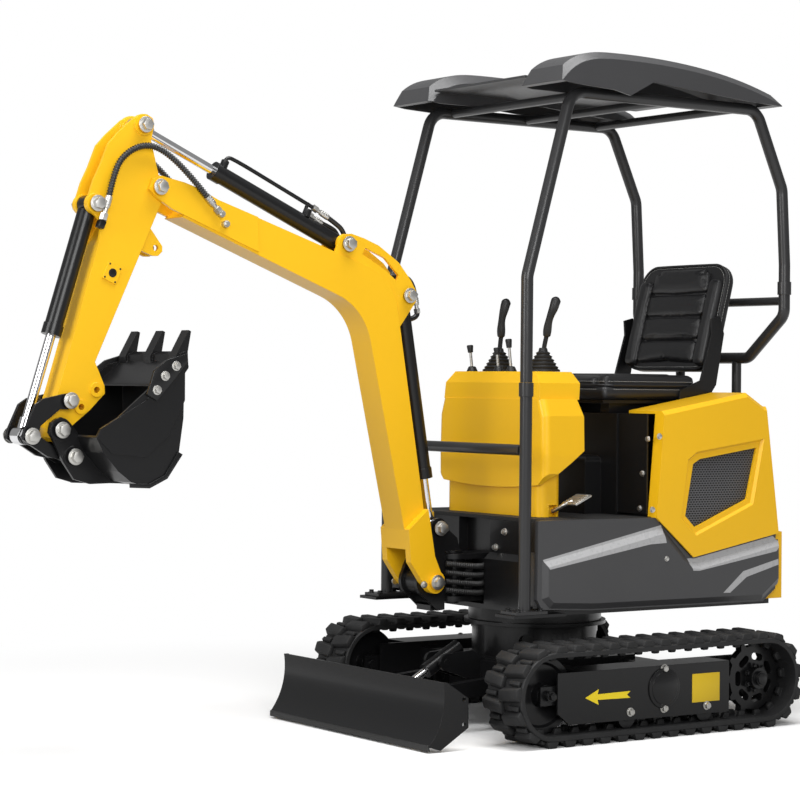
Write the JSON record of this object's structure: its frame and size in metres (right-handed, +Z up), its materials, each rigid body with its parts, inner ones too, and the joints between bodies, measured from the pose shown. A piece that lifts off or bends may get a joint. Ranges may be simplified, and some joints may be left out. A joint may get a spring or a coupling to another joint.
{
  "type": "mini excavator",
  "caption": "Small tracked excavator with open canopy, swing boom, curved dozer blade, rubber tracks, side engine covers and toothed digging bucket.",
  "frame": {"origin": "on the ground under the slew axis, midway between the tracks", "axes": "+X to the front, where the blade and boom are, +Y to the machine's left, +Z up"},
  "size_m": [2.8467, 1.17, 2.2364],
  "materials": {
    "black_paint": "satin",
    "chrome": "polished",
    "engine_grey": "matt",
    "grey_paint": "satin",
    "grey_plastic": "matt",
    "hose_rubber": "satin",
    "seat_vinyl": "satin",
    "soft_black": "matt",
    "track_rubber": "matt",
    "yellow_paint": "gloss"
  },
  "bodies": {
    "undercarriage": {"carbody": "black_paint", "blade_mounts": "black_paint", "idlers": "black_paint", "sprockets": "black_paint", "track_rollers": "black_paint", "track_frame_left": "black_paint", "track_frame_right": "black_paint", "track_left": "track_rubber", "track_right": "track_rubber"},
    "blade": {"blade": "black_paint", "blade_frame": "black_paint"},
    "blade_barrel": {"blade_cylinder_barrel": "black_paint"},
    "blade_rod": {"blade_cylinder_rod": "chrome"},
    "swing": {"swing_bracket": "black_paint", "swing_hoses": "hose_rubber"},
    "boom": {"boom": "yellow_paint", "arm_hoses": "hose_rubber"},
    "boom_barrel": {"boom_cylinder_barrel": "black_paint"},
    "boom_rod": {"boom_cylinder_rod": "chrome"},
    "arm_barrel": {"arm_cylinder_barrel": "black_paint"},
    "arm_rod": {"arm_cylinder_rod": "chrome"},
    "arm": {"arm": "yellow_paint"},
    "bucket_barrel": {"bucket_cylinder_barrel": "black_paint"},
    "bucket_rod": {"bucket_cylinder_rod": "chrome"},
    "rocker": {"rocker": "black_paint"},
    "link": {"link": "black_paint"},
    "bucket": {"bucket": "black_paint"},
    "house": {"canopy_bars": "grey_paint", "canopy_tubes": "grey_paint", "console": "yellow_paint", "counterweight": "yellow_paint", "engine": "engine_grey", "floor": "soft_black", "front_posts": "grey_paint", "grilles": "black_paint", "handrail": "grey_paint", "house_frame": "black_paint", "joysticks": "soft_black", "rear_guard": "grey_paint", "rear_hood": "yellow_paint", "roof": "grey_plastic", "seat_back": "seat_vinyl", "seat_box": "black_paint", "seat_cushion": "seat_vinyl", "seat_frame": "black_paint", "side_cover_left": "yellow_paint", "side_cover_right": "yellow_paint", "skirt_left": "grey_plastic", "skirt_right": "grey_plastic"}
  },
  "joints": [
    {"name": "slew", "type": "hinge", "parent": "undercarriage", "child": "house", "pos_m": [0, 0, 0.37], "axis": [0, 0, 1], "continuous": true},
    {"name": "blade_lift", "type": "hinge", "parent": "undercarriage", "child": "blade", "pos_m": [0.3, 0, 0.15], "axis": [0, -1, 0], "range_deg": [-12, 18]},
    {"name": "blade_cylinder_tilt", "type": "hinge", "parent": "undercarriage", "child": "blade_barrel", "pos_m": [0.405, 0, 0.218], "axis": [0, 1, 0], "range_deg": [-27.7, 18.63]},
    {"name": "blade_cylinder_stroke", "type": "slide", "parent": "blade_barrel", "child": "blade_rod", "axis": [0.8716, 0, -0.4903], "range_m": [-0.0325, 0.0218]},
    {"name": "boom_swing", "type": "hinge", "parent": "house", "child": "swing", "pos_m": [0.355, 0, 0.5], "axis": [0, 0, 1], "range_deg": [-50, 50], "deforming": ["swing_hoses"]},
    {"name": "boom_lift", "type": "hinge", "parent": "swing", "child": "boom", "pos_m": [0.48, 0, 0.49], "axis": [0, -1, 0], "range_deg": [-65, 4]},
    {"name": "boom_cylinder_tilt", "type": "hinge", "parent": "boom", "child": "boom_barrel", "pos_m": [0.57976, 0, 1.43244], "axis": [0, 1, 0], "range_deg": [-1.05, 9.41]},
    {"name": "boom_cylinder_stroke", "type": "slide", "parent": "boom_barrel", "child": "boom_rod", "axis": [-0.1705, 0, -0.9854], "range_m": [-0.0094, 0.1455]},
    {"name": "arm_cylinder_tilt", "type": "hinge", "parent": "boom", "child": "arm_barrel", "pos_m": [0.82176, 0, 1.59248], "axis": [0, 1, 0], "range_deg": [-6.47, 5.28]},
    {"name": "arm_cylinder_stroke", "type": "slide", "parent": "arm_barrel", "child": "arm_rod", "axis": [0.9138, 0, 0.4062], "range_m": [-0.1386, 0.111]},
    {"name": "arm_crowd", "type": "hinge", "parent": "boom", "child": "arm", "pos_m": [1.523, 0, 1.73741], "axis": [0, 1, 0], "range_deg": [-50, 40], "deforming": ["arm_hoses"]},
    {"name": "bucket_cylinder_tilt", "type": "hinge", "parent": "arm", "child": "bucket_barrel", "pos_m": [1.7331, 0, 1.67675], "axis": [0, 1, 0], "range_deg": [-8.81, 0.92]},
    {"name": "bucket_cylinder_stroke", "type": "slide", "parent": "bucket_barrel", "child": "bucket_rod", "axis": [0.2902, 0, -0.957], "range_m": [-0.1302, 0.007]},
    {"name": "rocker_turn", "type": "hinge", "parent": "arm", "child": "rocker", "pos_m": [1.82064, 0, 1.08175], "axis": [0, 1, 0], "range_deg": [-59.46, 3.45]},
    {"name": "bucket_curl", "type": "hinge", "parent": "arm", "child": "bucket", "pos_m": [1.84938, 0, 0.99389], "axis": [0, 1, 0], "range_deg": [-120, 6]},
    {"name": "link_turn", "type": "hinge", "parent": "bucket", "child": "link", "pos_m": [1.80517, 0, 0.91388], "axis": [0, 1, 0], "range_deg": [-3.48, 60.07]}
  ],
  "couplings": [
    {"joint": "blade_cylinder_tilt", "follows": "blade_lift", "ratio": -1.5111},
    {"joint": "blade_cylinder_stroke", "follows": "blade_lift", "m_per_rad": -0.1019},
    {"joint": "boom_cylinder_tilt", "follows": "boom_lift", "ratio": -0.1371},
    {"joint": "boom_cylinder_stroke", "follows": "boom_lift", "m_per_rad": -0.1278},
    {"joint": "arm_cylinder_tilt", "follows": "arm_crowd", "ratio": 0.1194},
    {"joint": "arm_cylinder_stroke", "follows": "arm_crowd", "m_per_rad": 0.1583},
    {"joint": "bucket_cylinder_tilt", "follows": "bucket_curl", "ratio": 0.0692},
    {"joint": "bucket_cylinder_stroke", "follows": "bucket_curl", "m_per_rad": 0.0619},
    {"joint": "rocker_turn", "follows": "bucket_curl", "ratio": 0.4914},
    {"joint": "link_turn", "follows": "bucket_curl", "ratio": -0.4964}
  ]
}
